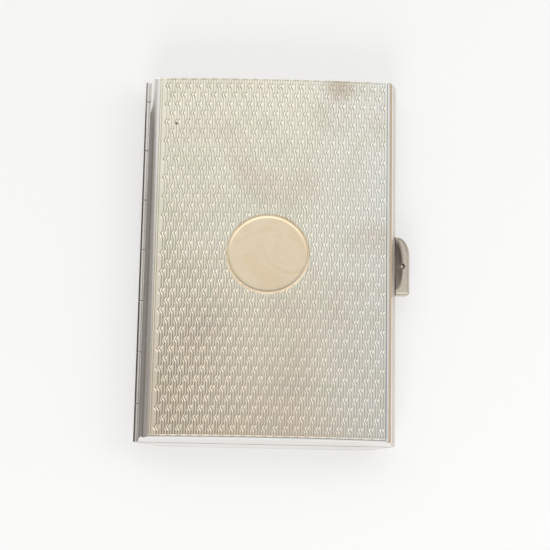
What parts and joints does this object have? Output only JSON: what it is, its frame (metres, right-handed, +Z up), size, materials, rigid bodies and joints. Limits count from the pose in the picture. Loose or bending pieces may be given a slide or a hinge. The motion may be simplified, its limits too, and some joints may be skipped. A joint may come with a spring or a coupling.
{
  "type": "business card case",
  "caption": "Flat hinged metal card case with an engine-turned curved lid, a blank round cartouche, a long knuckle hinge and a snap thumb tab.",
  "frame": {"origin": "middle of the flat back that the closed case lies on", "axes": "+Z up through the lid, +X from the hinge edge to the thumb tab, +Y along the case to its head end"},
  "size_m": [0.0664, 0.093, 0.0101],
  "materials": {
    "engine_turned_silver": "fine engine-turned silver with light tarnish in the cuts, gilt inside",
    "polished_silver": "plain polished silver, worn bright",
    "tab_silver": "hand-finished silver, tarnished in the scoop",
    "gilt": "thin gold wash on silver",
    "hard_wire": "hard-drawn nickel silver wire"
  },
  "bodies": {
    "base": {"base_cover": "engine_turned_silver", "base_end_head": "polished_silver", "base_end_foot": "polished_silver", "base_bezel_front": "gilt", "base_bezel_head": "gilt", "base_bezel_foot": "gilt", "base_knuckle_1": "polished_silver", "base_knuckle_2": "polished_silver", "base_knuckle_3": "polished_silver", "base_knuckle_4": "polished_silver", "hinge_pin": "hard_wire", "base_catch_tab": "tab_silver", "catch_pip": "tab_silver", "retainer_lug_head": "gilt", "retainer_lug_foot": "gilt", "retainer_pin_head": "hard_wire", "retainer_pin_foot": "hard_wire", "retainer_spring_head": "hard_wire", "retainer_spring_foot": "hard_wire"},
    "lid": {"lid_cover": "engine_turned_silver", "lid_end_head": "polished_silver", "lid_end_foot": "polished_silver", "lid_front_rim": "gilt", "lid_thumb_tab": "tab_silver", "lid_knuckle_1": "polished_silver", "lid_knuckle_2": "polished_silver", "lid_knuckle_3": "polished_silver", "lid_knuckle_4": "polished_silver"},
    "retainer": {"retainer_bar": "gilt"}
  },
  "joints": [
    {"name": "lid_hinge", "type": "hinge", "parent": "base", "child": "lid", "pos_m": [-0.0309, 0, 0.00446], "axis": [0, -1, 0], "range_deg": [0, 175]},
    {"name": "retainer_hinge", "type": "hinge", "parent": "base", "child": "retainer", "pos_m": [-0.0279, 0, 0.0039], "axis": [0, -1, 0], "range_deg": [0, 11.5], "stiffness_Nm_per_rad": 0.002, "springref_deg": -28.65}
  ]
}
